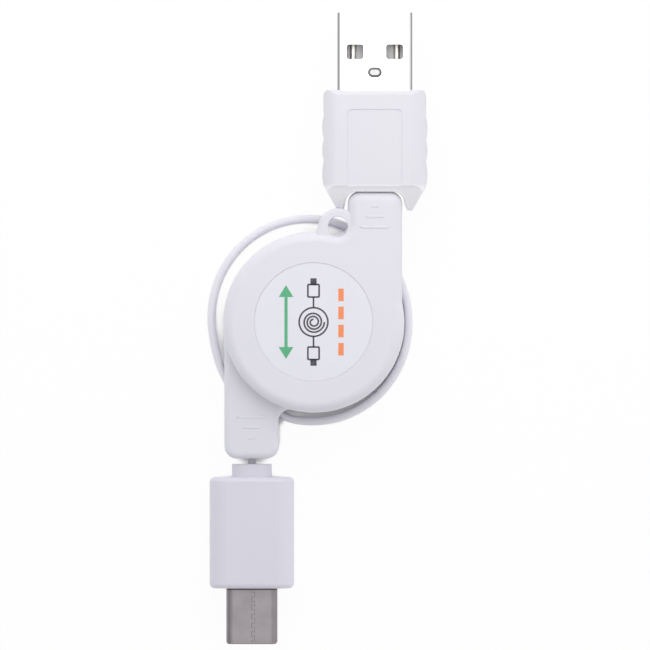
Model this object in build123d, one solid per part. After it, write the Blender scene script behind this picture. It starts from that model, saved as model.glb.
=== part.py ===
from build123d import *
import os
from math import cos, radians, sin, tan

# Sizes below this count as equal when an edge or a corner is picked
tiny = 0.01
# How far a cutting solid stands past the faces that it cuts
over = 1.0

# Retractable charging cable, lying on its lower face.
# X to the right, Y towards the type A plug, Z up; the origin is on the reel's axis at the lower face.
# All sizes are in millimetres.

# Cord
cord_d = 1.3
cord_clear = 0.3
coil_layers = 2
lead_gap = 0.2

# Loose turn of cord that lies round the reel, an oval of even steps a little off the reel's centre
loop_gap_x = 1.15
loop_gap_y = 1.6
loop_left = 0.8
loop_up = 0.45
loop_skew = 0.22
loop_start_angle = -95.5
loop_step_angle = 24.5
loop_count = 13
loop_first_z = 1.2
loop_last_z = 1.0
lead_a_angle = 7.4
lead_a_bend = 3.5
lead_c_angle = -149.7
lead_c_gap = 0.85
loop_gate_out_z = 2.6
loop_gate_in_z = 2.4
loop_turn_x = 1.4
loop_turn_y = 1.2
loop_turn_z = 3.4
loop_bend = 3.0
arc_share = 0.45

# Reel case, two moulded halves that part across the middle
case_r = 14.5
wall = 1.1
floor_t = 1.2
roof_t = 1.7
rim_round = 1.6
parting_chamfer = 0.15
run_gap = 0.3

# Arms that guide the cord out: arm A level with the roof, arm C with the floor and a little longer
arm_a_inset = 0.35
arm_c_inset = 0.05
arm_w = 8.7
arm_t = 7.2
arm_a_out = 6.5
arm_c_out = 7.4
arm_corner = 2.0
arm_round = 1.0
root_round_inner = 1.8
root_round_outer = 4.0

# Gates in the lower arm's sides, where the loose turn comes out and goes back in
gate_out_inset = 0.2
gate_out_l = 4.4
gate_out_reach = 3.0
gate_in_inset = 5.4
gate_in_l = 5.6
gate_clear = 0.4

# Drum with one storey for each side of the cord
drum_gap = 0.8
core_r = 6.0
core_wall = 0.8
flange_t = 0.6
middle_flange_t = 0.7
top_flange_t = 1.0
flange_lip = 1.1
coil_round = 0.6
post_r = 2.0
bearing_clear = 0.06
cover_clear = 0.05
crossing_d = 1.6

# Main spring, a steel strip wound from the post to the drum's core
strip_t = 0.15
strip_gap = 0.3
spring_turns = 8
spring_start = 0.25
tab_length = 0.7
tab_slot = 0.5

# Lock: a ball that runs in a round track and drops into pockets
ball_d = 1.5
ball_r_rest = 8.15
ball_travel = 0.9
track_inner_r = 7.3
track_outer_r = 9.3
track_depth = 0.5
pocket_count = 8
ball_clear = 0.05

# Label and centre screw
label_r = 9.45
label_t = 0.2
label_recess = 0.25
label_clear = 0.05
screw_head_r = 1.9
screw_head_t = 0.65
screw_shank_r = 0.8
screw_length = 6.5
screw_clear = 0.05
screw_tip_r = 0.15
screw_tip_room = 0.5
driver_slot_w = 0.5
driver_slot_depth = 0.35

# Key eyelet on the upper half
eyelet_from_arm = 1.55
eyelet_out = 0.55
eyelet_r = 3.2
eyelet_hole_out = 0.25
eyelet_hole_r = 1.6
eyelet_t = 1.3
eyelet_drop = 0.4
eyelet_bar_w = 1.45
eyelet_bar_out = 0.2
eyelet_round = 0.5

# Type A plug
dock_gap = 0.15
plug_a_w = 16.3
plug_a_t = 8.2
plug_a_l = 16.0
plug_a_side_round = 2.4
plug_a_end_round = 0.8
grip_bulges = (0.1, 0.3, 0.3, 0.3)
grip_notches = (4.1, 7.8, 11.3)
grip_end = 0.6
fork_l = 3.2
fork_outer = 6.0
fork_inner = 5.1
fork_clear = 0.3
fork_slope = 0.7
fork_tip_t = 2.8
fork_tip_round = 0.4
panel_w = 8.8
panel_inset = 3.1
panel_depth = 0.1
panel_corner = 0.8
shell_a_w = 12.0
shell_a_t = 4.5
shell_a_wall = 0.3
shell_a_corner = 0.7
shell_a_out = 12.5
plug_grip_in = 4.0
window_w = 2.75
window_l = 2.4
window_corner = 0.45
window_x = 3.175
window_front = 5.1
catch_w = 2.25
catch_l = 1.6
catch_front = 9.6
catch_gap = 0.25
catch_depth = 0.8
tongue_t = 1.9
mouth_a_depth = 8.9
tongue_set_back = 0.4
contact_a_x = (-3.5, -1.0, 1.0, 3.5)
contact_a_w = 1.0
contact_a_t = 0.2
contact_a_crown = 0.2
contact_a_set_back = 1.2

# Type C plug
plug_c_gap = 0.9
collar_w = 6.4
collar_t = 4.6
collar_l = 2.1
collar_corner = 2.2
plug_c_w = 13.6
plug_c_t = 7.0
plug_c_l = 17.9
plug_c_corner = 2.9
plug_c_end_round = 0.8
shell_c_w = 8.25
shell_c_t = 2.4
shell_c_wall = 0.25
shell_c_out = 9.0
shell_c_lip = 0.15
shell_c_mouth_round = 0.5
mouth_c_w = 6.8
mouth_c_t = 0.95
mouth_c_depth = 6.2
contact_c_upper_x = (-2.75, -1.25, -0.75, -0.25, 0.25, 1.25, 2.75)
contact_c_lower_x = (-2.75, -1.25, 0.75, 1.25, 2.75)
contact_c_w = 0.25
contact_c_t = 0.2
contact_c_length = 5.2
latch_t = 0.3
latch_h = 0.6
latch_bump = 0.25
latch_bump_l = 1.4
latch_set_back = 0.8
stub_in = 3.0

# Heights of the stack inside the case
coil_t = coil_layers * cord_d
drum_z = floor_t + run_gap
coil_lower_z = drum_z + flange_t
middle_z = coil_lower_z + coil_t
coil_upper_z = middle_z + middle_flange_t
top_flange_z = coil_upper_z + coil_t
drum_top = top_flange_z + top_flange_t
roof_z = drum_top + run_gap
case_t = roof_z + roof_t
parting_z = case_t / 2
label_z = case_t - label_recess
cord_a_z = case_t - arm_t / 2
cord_c_z = arm_t / 2
chamber_r = case_r - wall
drum_r = chamber_r - drum_gap
coil_r = drum_r - flange_lip
cord_hole_r = cord_d / 2 + cord_clear
spring_chamber_r = core_r - core_wall

# Arms, eyelet and gates, placed from the case
arm_a_x = case_r - arm_a_inset - arm_w / 2
arm_c_x = case_r - arm_c_inset - arm_w / 2
arm_a_reach = case_r + arm_a_out
arm_c_reach = case_r + arm_c_out
eyelet_x = arm_a_x - arm_w / 2 - eyelet_from_arm
eyelet_y = case_r + eyelet_out
gate_out_y = case_r - gate_out_inset
gate_in_y = case_r - gate_in_inset

# Ends of the plugs along Y
dock_y = arm_a_reach + dock_gap
plug_a_end_y = dock_y + plug_a_l
grip_end_y = dock_y + grip_end
fork_tip_y = dock_y - fork_l
fork_slope_y = dock_y + fork_slope
panel_top_y = plug_a_end_y - panel_inset
shell_a_front = plug_a_end_y + shell_a_out
shell_a_back = plug_a_end_y - plug_grip_in
collar_y = -arm_c_reach - plug_c_gap
plug_c_y = collar_y - collar_l
plug_c_end_y = plug_c_y - plug_c_l
shell_c_front = plug_c_end_y - shell_c_out
shell_c_back = plug_c_end_y + plug_grip_in
stub_a_join = arm_a_reach - wall - cord_clear
stub_c_join = arm_c_reach - wall - cord_clear


# Cord routes, from the drum outwards; the loose turn lies on the table
def around(r, angle, z):
    """A point at a radius and an angle about the reel's axis."""
    return (r * cos(radians(angle)), r * sin(radians(angle)), z)


lead_r = coil_r + cord_d / 2 + lead_gap
cord_a_route = [
    around(lead_r, lead_a_angle, coil_upper_z + coil_t / 2),
    (arm_a_x, stub_a_join - lead_a_bend, cord_a_z),
    (arm_a_x, stub_a_join, cord_a_z),
]


def on_loop(angle, z):
    """A point of the loose turn's oval, which lies a little askew."""
    turn = radians(angle)
    out = case_r + cord_d / 2 - loop_skew * sin(2 * turn)
    return ((out + loop_gap_x) * cos(turn) - loop_left, (out + loop_gap_y) * sin(turn) + loop_up, z)


loop_angles = [loop_start_angle + loop_step_angle * i for i in range(loop_count)]
loop_route = [
    around(coil_r + cord_d / 2 + lead_c_gap, lead_c_angle, coil_lower_z + coil_t / 2),
    (-arm_c_x + arm_w / 2 - wall, -gate_out_y, loop_gate_out_z),
    on_loop(loop_angles[0], loop_first_z),
    *[on_loop(angle, cord_d / 2) for angle in loop_angles[1:-1]],
    on_loop(loop_angles[-1], loop_last_z),
    (-arm_c_x - arm_w / 2, -gate_in_y, loop_gate_in_z),
    (-arm_c_x - loop_turn_x, -case_r + loop_turn_y, loop_turn_z),
    (-arm_c_x, -stub_c_join + loop_bend, cord_c_z),
    (-arm_c_x, -stub_c_join, cord_c_z),
]


# Small helpers for solids
def block(x0, x1, y0, y1, z0, z1):
    """A box between two corners."""
    box = Box(x1 - x0, y1 - y0, z1 - z0)
    return Pos((x0 + x1) / 2, (y0 + y1) / 2, (z0 + z1) / 2) * box


def disc(r, z0, z1):
    """An upright cylinder on the reel's axis."""
    return Pos(0, 0, (z0 + z1) / 2) * Cylinder(r, z1 - z0)


def along_y(section, x, z, y0, y1):
    """A section drawn with X across and Z up, drawn out from y0 to y1."""
    return Pos(x, max(y0, y1), z) * extrude(Plane.XZ * section, abs(y1 - y0))


def cord_tube(name, route):
    """A round tube along straight runs joined by arcs that take most of each run."""
    points = [Vector(*p) for p in route]
    runs = [b - a for a, b in zip(points, points[1:])]
    radii = []
    for before, after in zip(runs, runs[1:]):
        turn = radians(before.get_angle(after))
        shorter = min(before.length, after.length)
        radii.append(arc_share * shorter / tan(turn / 2))
    print(name, "radii", [round(r, 1) for r in radii])
    path = FilletPolyline(*points, radius=radii)
    start = Plane(origin=path @ 0, z_dir=path % 0)
    tube = sweep(start * Circle(cord_d / 2), path=path)
    print(name, "length", round(path.length, 1), "section", round(tube.volume / path.length, 4))
    return tube


# Case halves
def case_plan(arm_x, reach):
    """Outline of the reel with one arm, its corners and roots rounded."""
    inner_x = arm_x - arm_w / 2
    outer_x = arm_x + arm_w / 2
    plan = Circle(case_r) + Pos(arm_x, reach / 2) * Rectangle(arm_w, reach)
    ends = plan.vertices().filter_by(lambda v: abs(v.Y - reach) < tiny)
    plan = fillet(ends, arm_corner)
    roots = plan.vertices().filter_by(lambda v: v.Y < reach - arm_corner - tiny)
    plan = fillet(roots.filter_by(lambda v: abs(v.X - inner_x) < tiny), root_round_inner)
    roots = plan.vertices().filter_by(lambda v: v.Y < reach - arm_corner - tiny)
    return fillet(roots.filter_by(lambda v: abs(v.X - outer_x) < tiny), root_round_outer)


def case_half(plate_t, own_x, own_reach, other_x, other_reach):
    """The half that carries its own arm whole and the lid of the other, above the parting plane."""
    body = Pos(0, 0, parting_z) * extrude(case_plan(own_x, own_reach), case_t - parting_z)
    body = fillet(body.faces().sort_by(Axis.Z)[-1].edges(), rim_round)
    lid = extrude(case_plan(other_x, other_reach).rotate(Axis.Z, 180), arm_t - parting_z)
    lid = Pos(0, 0, parting_z) * fillet(lid.faces().sort_by(Axis.Z)[-1].edges(), arm_round)
    half = body + lid
    half = chamfer(half.faces().sort_by(Axis.Z)[0].outer_wire().edges(), parting_chamfer)
    half_room = arm_w / 2 - wall
    room_top = case_t - plate_t
    half -= disc(chamber_r, parting_z, room_top)
    half -= block(own_x - half_room, own_x + half_room, 0, own_reach - wall, parting_z, room_top)
    lid_room = (-other_x - half_room, -other_x + half_room, wall - other_reach, 0)
    half -= block(*lid_room, parting_z, arm_t - wall)
    mouth = Pos(own_x, own_reach, cord_a_z) * (Rot(90, 0, 0) * Cylinder(cord_hole_r, 4 * wall))
    return half - mouth


def key_eyelet():
    """A flat tab with a round hole and a straight bar, beside the upper arm."""
    top = case_t - eyelet_drop
    tab = Pos(eyelet_x, eyelet_y) * Circle(eyelet_r)
    bar_x = eyelet_x - eyelet_r - eyelet_bar_out + eyelet_bar_w / 2
    bar_low = chamber_r - wall
    bar = Pos(bar_x, (bar_low + eyelet_y) / 2) * Rectangle(eyelet_bar_w, eyelet_y - bar_low)
    plate = Pos(0, 0, top - eyelet_t) * extrude(tab + bar, eyelet_t)
    return fillet(plate.edges().group_by(Axis.Z)[-1], eyelet_round)


def upper_shell():
    """Roof half with the label's recess, the screw's seat, the ball's slot and the key eyelet."""
    shell = case_half(roof_t, arm_a_x, arm_a_reach, arm_c_x, arm_c_reach)
    eyelet = key_eyelet() - disc(chamber_r, 0, case_t)
    shell += eyelet - block(arm_a_x - arm_w / 2 + wall, case_r, 0, arm_a_reach, 0, case_t)
    hole = Pos(eyelet_x, eyelet_y + eyelet_hole_out, case_t - eyelet_drop - eyelet_t / 2)
    shell -= hole * Cylinder(eyelet_hole_r, eyelet_t + 2 * eyelet_drop)
    shell -= disc(label_r + label_clear, label_z, case_t + over)
    shell -= disc(screw_head_r + screw_clear, label_z - screw_head_t - screw_clear, case_t)
    shell -= disc(screw_shank_r + screw_clear, parting_z, case_t)
    slot_w = ball_d + 2 * ball_clear
    slot = SlotOverall(slot_w + ball_travel, slot_w, rotation=90)
    slot = Pos(0, ball_r_rest + ball_travel / 2, roof_z) * slot
    return shell - extrude(slot, ball_d / 2 + ball_clear)


def lower_shell():
    """Floor half with the centre post and a gate in each side of the arm for the loose turn."""
    shell = case_half(floor_t, arm_c_x, arm_c_reach, arm_a_x, arm_a_reach)
    shell = shell.mirror(Plane.XY.offset(parting_z)).rotate(Axis.Z, 180)
    post = disc(post_r, floor_t, roof_z)
    post -= disc(screw_shank_r + screw_clear, label_z - screw_head_t - screw_length - screw_tip_room, roof_z)
    post -= block(post_r - tab_length, post_r + over, -tab_slot / 2, tab_slot / 2, coil_lower_z, roof_z)
    shell += post
    outer_x = -arm_c_x - arm_w / 2
    inner_x = -arm_c_x + arm_w / 2
    gate_top = floor_t + 2 * cord_d
    gate_low = -gate_in_y - gate_in_l / 2
    gate_out_low = -gate_out_y - gate_out_l / 2
    sill = wall + gate_clear
    shell -= block(outer_x - over, outer_x + sill, gate_low, gate_low + gate_in_l, floor_t, gate_top)
    root_x = inner_x + gate_out_reach
    shell -= block(inner_x - sill, root_x, gate_out_low, gate_out_low + gate_out_l, floor_t, gate_top)
    return shell


# Drum, its spring and the wound cord
def drum():
    """Spool turned from one profile, with a lock track in its top, a spring slot and a cord crossing."""
    bore = post_r + bearing_clear
    profile = Polyline(
        (spring_chamber_r, drum_z),
        (drum_r, drum_z),
        (drum_r, coil_lower_z),
        (core_r, coil_lower_z),
        (core_r, middle_z),
        (drum_r, middle_z),
        (drum_r, coil_upper_z),
        (core_r, coil_upper_z),
        (core_r, top_flange_z),
        (drum_r, top_flange_z),
        (drum_r, drum_top),
        (bore, drum_top),
        (bore, top_flange_z),
        (spring_chamber_r, top_flange_z),
        close=True,
    )
    spool = revolve(Plane.XZ * make_face(profile), Axis.Z)
    track = Circle(track_outer_r) - Circle(track_inner_r)
    pocket_r = ball_d / 2 + 2 * ball_clear
    for i in range(pocket_count):
        turn = Rot(0, 0, 90 + 360 / pocket_count * i)
        track += turn * Pos(ball_r_rest + ball_travel) * Circle(pocket_r)
    spool -= Pos(0, 0, drum_top - track_depth) * extrude(track, track_depth)
    half_slot = tab_slot / 2
    slot_inner = spring_chamber_r - core_wall
    spool -= block(slot_inner, core_r, -half_slot, half_slot, coil_lower_z, top_flange_z)
    crossing = Pos(-core_r - crossing_d / 2, 0, middle_z) * Cylinder(crossing_d / 2, 3 * middle_flange_t)
    return spool - crossing


def spring_cover():
    """Disc that closes the spring chamber from below and runs on the post."""
    cover = disc(spring_chamber_r - cover_clear, drum_z, coil_lower_z)
    return cover - disc(post_r + bearing_clear, 0, case_t)


def main_spring():
    """Spiral strip of half circles about two centres, with a tab at each end."""
    r = post_r + spring_start
    last_r = spring_chamber_r - spring_start
    pitch = (last_r - r) / spring_turns
    outer = []
    inner = []
    for i in range(2 * spring_turns):
        centre = (pitch / 2 * (i % 2), 0)
        start = 180 * (i % 2)
        radius = r + pitch / 2 * i
        outer.append(CenterArc(centre, radius + strip_t / 2, start, 180))
        inner.append(CenterArc(centre, radius - strip_t / 2, start, 180))
    ends = [Line(outer[0] @ 0, inner[0] @ 0), Line(outer[-1] @ 1, inner[-1] @ 1)]
    strip = make_face(Curve() + [*outer, *inner, *ends])
    tab_inner = Pos(r - tab_length / 2, -strip_t / 2) * Rectangle(tab_length + strip_t, strip_t)
    tab_outer = Pos(last_r + tab_length / 2, strip_t / 2) * Rectangle(tab_length + strip_t, strip_t)
    z0 = coil_lower_z + strip_gap
    return Pos(0, 0, z0) * extrude(strip + tab_inner + tab_outer, top_flange_z - strip_gap - z0)


def cord_coil(z):
    """All wound turns of one storey as one ring."""
    ring = disc(coil_r, z, z + coil_t) - disc(core_r, z - over, z + coil_t + over)
    circles = ring.edges().filter_by(GeomType.CIRCLE)
    rims = circles.filter_by(lambda e: abs(e.radius - coil_r) < tiny)
    return fillet(rims, coil_round)


def lock_ball():
    """Steel ball between the roof's slot and the drum's track."""
    z = drum_top - track_depth + ball_clear + ball_d / 2
    return Pos(0, ball_r_rest, z) * Sphere(ball_d / 2)


# Label and screw
def centre_screw():
    """Flat-headed screw with a driver slot, from the label's recess into the post."""
    seat = label_z - screw_head_t
    screw = disc(screw_head_r, seat, label_z)
    half_slot = driver_slot_w / 2
    slot_z = label_z - driver_slot_depth
    screw -= block(-screw_head_r, screw_head_r, -half_slot, half_slot, slot_z, case_t)
    tip_z = seat - screw_length
    screw += disc(screw_shank_r, tip_z + screw_shank_r, seat)
    tip = Cone(screw_tip_r, screw_shank_r, screw_shank_r)
    return screw + Pos(0, 0, tip_z + screw_shank_r / 2) * tip


# Type A plug
def plug_a_plan():
    """Plan of the grip about its own centre line: bulged sides, tapered shoulders and a forked end."""
    half = plug_a_w / 2
    notches = [plug_a_end_y - from_end for from_end in grip_notches]
    stations = [plug_a_end_y, *notches, grip_end_y]
    fork_wall = arm_w / 2 + fork_clear
    right = []
    for upper, lower, bulge in zip(stations, stations[1:], grip_bulges):
        middle = (half + bulge, (upper + lower) / 2)
        right.append(ThreePointArc((half, upper), middle, (half, lower)))
    right.append(
        Polyline(
            (half, grip_end_y),
            (fork_outer, fork_tip_y),
            (fork_inner, fork_tip_y),
            (fork_wall, dock_y),
            (0, dock_y),
        )
    )
    right.append(Line((0, plug_a_end_y), (half, plug_a_end_y)))
    right.append(Line((0, plug_a_end_y), (0, dock_y)))
    side = make_face(Curve() + right)
    tips = side.vertices().filter_by(lambda v: abs(v.Y - fork_tip_y) < tiny)
    side = fillet(tips, fork_tip_round)
    throat = side.vertices().filter_by(lambda v: abs(v.Y - dock_y) < tiny and v.X > tiny)
    side = fillet(throat, arm_corner)
    corner = side.vertices().filter_by(lambda v: abs(v.Y - plug_a_end_y) < tiny and v.X > tiny)
    side = fillet(corner, plug_a_end_round)
    return side + side.mirror(Plane.YZ)


def plug_a_overmould():
    """Grip cut from its plan, its rounded section and its sloped side view."""
    half_t = plug_a_t / 2
    half_w = plug_a_w / 2 + max(grip_bulges)
    grip = Pos(0, 0, -half_t) * extrude(plug_a_plan(), plug_a_t)
    section = RectangleRounded(2 * half_w, plug_a_t, plug_a_side_round)
    grip &= along_y(section, 0, 0, fork_tip_y - over, plug_a_end_y + over)
    side_view = Polyline(
        (fork_tip_y, -fork_tip_t / 2),
        (fork_slope_y, -half_t),
        (plug_a_end_y, -half_t),
        (plug_a_end_y, half_t),
        (fork_slope_y, half_t),
        (fork_tip_y, fork_tip_t / 2),
        close=True,
    )
    side_view = make_face(side_view)
    ends = side_view.vertices().filter_by(lambda v: abs(v.X - plug_a_end_y) < tiny)
    side_view = fillet(ends, plug_a_end_round)
    grip &= Pos(-half_w - over, 0, 0) * extrude(Plane.YZ * side_view, 2 * (half_w + over))
    panel = RectangleRounded(panel_w, panel_top_y - dock_y, panel_corner)
    panel = Pos(0, (panel_top_y + dock_y) / 2) * panel
    grip -= Pos(0, 0, half_t - panel_depth) * extrude(panel, plug_a_t)
    socket = RectangleRounded(shell_a_w, shell_a_t, shell_a_corner)
    grip -= along_y(socket, 0, 0, shell_a_back, plug_a_end_y + over)
    grip -= along_y(Circle(cord_d / 2), 0, 0, 0, dock_y + stub_in)
    return Pos(arm_a_x, 0, cord_a_z) * grip


def shell_a_bore():
    """Inner section of the type A plug's steel tube."""
    corner = shell_a_corner - shell_a_wall
    return RectangleRounded(shell_a_w - 2 * shell_a_wall, shell_a_t - 2 * shell_a_wall, corner)


def plug_a_shell():
    """Folded steel tube with two windows on each broad side and an oval hole for the insulator's catch."""
    outer = RectangleRounded(shell_a_w, shell_a_t, shell_a_corner)
    tube = along_y(outer - shell_a_bore(), 0, 0, shell_a_back, shell_a_front)
    window_y = shell_a_front - window_front - window_l / 2
    window = extrude(RectangleRounded(window_w, window_l, window_corner), shell_a_t, both=True)
    for side in (-1, 1):
        tube -= Pos(side * window_x, window_y, 0) * window
    tube -= Pos(0, shell_a_front - catch_front, 0) * extrude(SlotOverall(catch_w, catch_l), shell_a_t)
    return Pos(arm_a_x, 0, cord_a_z) * tube


def plug_a_insulator():
    """Plastic body with a tongue along the shell's lower wall, contact grooves and a catch on top."""
    half_w = shell_a_w / 2 - shell_a_wall
    half_t = shell_a_t / 2 - shell_a_wall
    body = along_y(shell_a_bore(), 0, 0, shell_a_back, shell_a_front - tongue_set_back)
    tongue_top = -half_t + tongue_t
    mouth_y = shell_a_front - mouth_a_depth
    body -= block(-half_w, half_w, mouth_y, shell_a_front, tongue_top, half_t)
    for x in contact_a_x:
        left = x - contact_a_w / 2
        front = shell_a_front - contact_a_set_back
        body -= block(left, left + contact_a_w, mouth_y, front, tongue_top - contact_a_t / 2, tongue_top)
    catch_foot = Pos(0, shell_a_front - catch_front, half_t - catch_depth)
    body -= catch_foot * extrude(SlotOverall(catch_w, catch_l), catch_depth)
    catch = SlotOverall(catch_w - 2 * catch_gap, catch_l - 2 * catch_gap)
    body += catch_foot * extrude(catch, catch_depth + shell_a_wall)
    return Pos(arm_a_x, 0, cord_a_z) * body


def plug_a_contacts():
    """Four crowned spring strips lying in the tongue's grooves."""
    tongue_top = -shell_a_t / 2 + shell_a_wall + tongue_t
    mouth_y = shell_a_front - mouth_a_depth
    front = shell_a_front - contact_a_set_back
    half_w = contact_a_w / 2
    half_t = contact_a_t / 2
    crown = ThreePointArc((-half_w, half_t), (0, half_t + contact_a_crown), (half_w, half_t))
    flat = Polyline((-half_w, half_t), (-half_w, -half_t), (half_w, -half_t), (half_w, half_t))
    section = make_face(Curve() + [crown, flat])
    strips = Part()
    for x in contact_a_x:
        strips += along_y(section, x, tongue_top, mouth_y, front)
    return Pos(arm_a_x, 0, cord_a_z) * strips


# Type C plug
def plug_c_overmould():
    """Rounded grip with a narrow collar where the cord goes in."""
    grip = along_y(RectangleRounded(plug_c_w, plug_c_t, plug_c_corner), 0, 0, plug_c_end_y, plug_c_y)
    ends = grip.faces().filter_by(Axis.Y).edges()
    grip = fillet(ends, plug_c_end_round)
    collar = RectangleRounded(collar_w, collar_t, collar_corner)
    grip += along_y(collar, 0, 0, plug_c_y - plug_c_end_round, collar_y)
    grip -= along_y(SlotOverall(shell_c_w, shell_c_t), 0, 0, plug_c_end_y - over, shell_c_back)
    grip -= along_y(Circle(cord_d / 2), 0, 0, collar_y - stub_in, 0)
    return Pos(-arm_c_x, 0, cord_c_z) * grip


def plug_c_shell():
    """Drawn steel tube with fully round sides, rounded mouth corners and a rounded lip."""
    plan = Rectangle(shell_c_w, shell_c_back - shell_c_front)
    plan = Pos(0, (shell_c_front + shell_c_back) / 2) * plan
    plan = fillet(plan.vertices().group_by(Axis.Y)[0], shell_c_mouth_round)
    tube = along_y(SlotOverall(shell_c_w, shell_c_t), 0, 0, shell_c_front, shell_c_back)
    tube = fillet(tube.faces().sort_by(Axis.Y)[0].edges(), shell_c_lip)
    tube &= Pos(0, 0, -shell_c_t) * extrude(plan, 2 * shell_c_t)
    inner = SlotOverall(shell_c_w - 2 * shell_c_wall, shell_c_t - 2 * shell_c_wall)
    tube -= along_y(inner, 0, 0, shell_c_front - over, shell_c_back + over)
    return Pos(-arm_c_x, 0, cord_c_z) * tube


def plug_c_insulator():
    """Plastic core of the shell with a flat mouth at the front and room for the side latches."""
    core = SlotOverall(shell_c_w - 2 * shell_c_wall, shell_c_t - 2 * shell_c_wall)
    body = along_y(core, 0, 0, shell_c_front + tongue_set_back, shell_c_back)
    mouth_y = shell_c_front + mouth_c_depth
    half_w = mouth_c_w / 2
    half_t = mouth_c_t / 2
    body -= block(-half_w, half_w, shell_c_front - over, mouth_y, -half_t, half_t)
    groove = half_t + contact_c_t / 2
    for x in contact_c_upper_x:
        left = x - contact_c_w / 2
        body -= block(left, left + contact_c_w, mouth_y - contact_c_length, mouth_y, 0, groove)
    for x in contact_c_lower_x:
        left = x - contact_c_w / 2
        body -= block(left, left + contact_c_w, mouth_y - contact_c_length, mouth_y, -groove, 0)
    return Pos(-arm_c_x, 0, cord_c_z) * body


def plug_c_contacts(side, places):
    """One row of contact strips in the mouth's upper or lower wall."""
    mouth_y = shell_c_front + mouth_c_depth
    middle = side * mouth_c_t / 2
    strips = Part()
    for x in places:
        left = x - contact_c_w / 2
        z0 = middle - contact_c_t / 2
        strips += block(left, left + contact_c_w, mouth_y - contact_c_length, mouth_y, z0, z0 + contact_c_t)
    return Pos(-arm_c_x, 0, cord_c_z) * strips


def plug_c_latches():
    """Two side springs in the mouth, each with a bump near its front."""
    mouth_y = shell_c_front + mouth_c_depth
    front = shell_c_front + latch_set_back
    outer = mouth_c_w / 2
    inner = outer - latch_t
    outline = Polyline(
        (outer, mouth_y),
        (outer, front),
        (inner, front),
        (inner - latch_bump, front + latch_bump_l / 2),
        (inner, front + latch_bump_l),
        (inner, mouth_y),
        close=True,
    )
    spring = Pos(-arm_c_x, 0, cord_c_z - latch_h / 2) * extrude(make_face(outline), latch_h)
    return spring + spring.mirror(Plane.YZ.offset(-arm_c_x))


# Cord ends fixed in the plugs
def cord_stub_a():
    """Cord end from inside the upper arm into the type A plug."""
    return along_y(Circle(cord_d / 2), arm_a_x, cord_a_z, stub_a_join, dock_y + stub_in)


def cord_stub_c():
    """Cord end from inside the lower arm into the type C plug."""
    return along_y(Circle(cord_d / 2), -arm_c_x, cord_c_z, -stub_c_join, collar_y - stub_in)


pieces = {
    "upper_shell": upper_shell(),
    "lower_shell": lower_shell(),
    "label_disc": disc(label_r, label_z, label_z + label_t),
    "centre_screw": centre_screw(),
    "drum": drum(),
    "spring_cover": spring_cover(),
    "main_spring": main_spring(),
    "cord_coil_upper": cord_coil(coil_upper_z),
    "cord_coil_lower": cord_coil(coil_lower_z),
    "lock_ball": lock_ball(),
    "cord_lead_a": cord_tube("cord_lead_a", cord_a_route),
    "cord_loop": cord_tube("cord_loop", loop_route),
    "plug_a_overmould": plug_a_overmould(),
    "plug_a_shell": plug_a_shell(),
    "plug_a_insulator": plug_a_insulator(),
    "plug_a_contacts": plug_a_contacts(),
    "cord_stub_a": cord_stub_a(),
    "plug_c_overmould": plug_c_overmould(),
    "plug_c_shell": plug_c_shell(),
    "plug_c_insulator": plug_c_insulator(),
    "plug_c_contacts_upper": plug_c_contacts(1, contact_c_upper_x),
    "plug_c_contacts_lower": plug_c_contacts(-1, contact_c_lower_x),
    "plug_c_latches": plug_c_latches(),
    "cord_stub_c": cord_stub_c(),
}

os.makedirs("parts", exist_ok=True)
for name, solid in pieces.items():
    export_step(solid, f"parts/{name}.step")
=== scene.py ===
from math import atan, cos, pi, radians, sin

import bmesh
import bpy
from mathutils import Matrix, Vector


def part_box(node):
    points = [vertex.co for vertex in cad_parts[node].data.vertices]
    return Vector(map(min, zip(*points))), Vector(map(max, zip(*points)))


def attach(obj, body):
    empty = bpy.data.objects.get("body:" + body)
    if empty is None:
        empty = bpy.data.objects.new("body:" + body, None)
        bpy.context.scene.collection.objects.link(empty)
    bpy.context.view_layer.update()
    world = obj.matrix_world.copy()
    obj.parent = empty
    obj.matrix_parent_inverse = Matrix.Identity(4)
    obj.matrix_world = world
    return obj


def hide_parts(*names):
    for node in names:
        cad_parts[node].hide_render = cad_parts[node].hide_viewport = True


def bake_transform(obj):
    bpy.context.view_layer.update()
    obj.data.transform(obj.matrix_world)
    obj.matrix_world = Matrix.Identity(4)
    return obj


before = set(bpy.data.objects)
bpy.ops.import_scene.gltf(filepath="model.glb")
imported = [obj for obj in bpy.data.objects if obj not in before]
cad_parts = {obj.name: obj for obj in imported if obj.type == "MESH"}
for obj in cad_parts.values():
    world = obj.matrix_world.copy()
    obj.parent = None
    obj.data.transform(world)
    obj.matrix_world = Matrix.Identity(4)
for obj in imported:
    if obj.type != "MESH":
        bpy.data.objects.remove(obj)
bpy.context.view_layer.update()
MM = 0.001


# Reel case
# Two halves moulded in satin white plastic, each with a hollow arm that the cord runs out through.
# They meet at half the height, and one screw under the label holds them together.
CASE_WHITE = (0.735, 0.725, 0.785, 1)
CASE_SHADE = (0.715, 0.71, 0.775, 1)
CASE_ROUGHNESS = 0.38
PLASTIC_GLOSS = 0.45
MOULD_EDGE = 0.13 * MM
GRAIN = 0.16 * MM
GRAIN_DEPTH = 0.004 * MM
FLOW_SIZE = 9 * MM
FLOW_DRAWN = (1, 1.6, 1)
SHEEN_SIZE = 1.4 * MM
SHEEN_LESS = 0.04
SHEEN_MORE = 0.05
WAVE_SIZE = 3.5 * MM
WAVE_DEPTH = 0.012 * MM
PARTING_WIDTH = 0.07 * MM
PARTING_DEPTH = 0.03 * MM


def new_material(name):
    """A node material: the material, its tree, its shader and the piece's own coordinates."""
    made = bpy.data.materials.new(name)
    made.use_nodes = True
    tree = made.node_tree
    where = tree.nodes.new("ShaderNodeTexCoord").outputs["Object"]
    return made, tree, tree.nodes["Principled BSDF"], where


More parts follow.
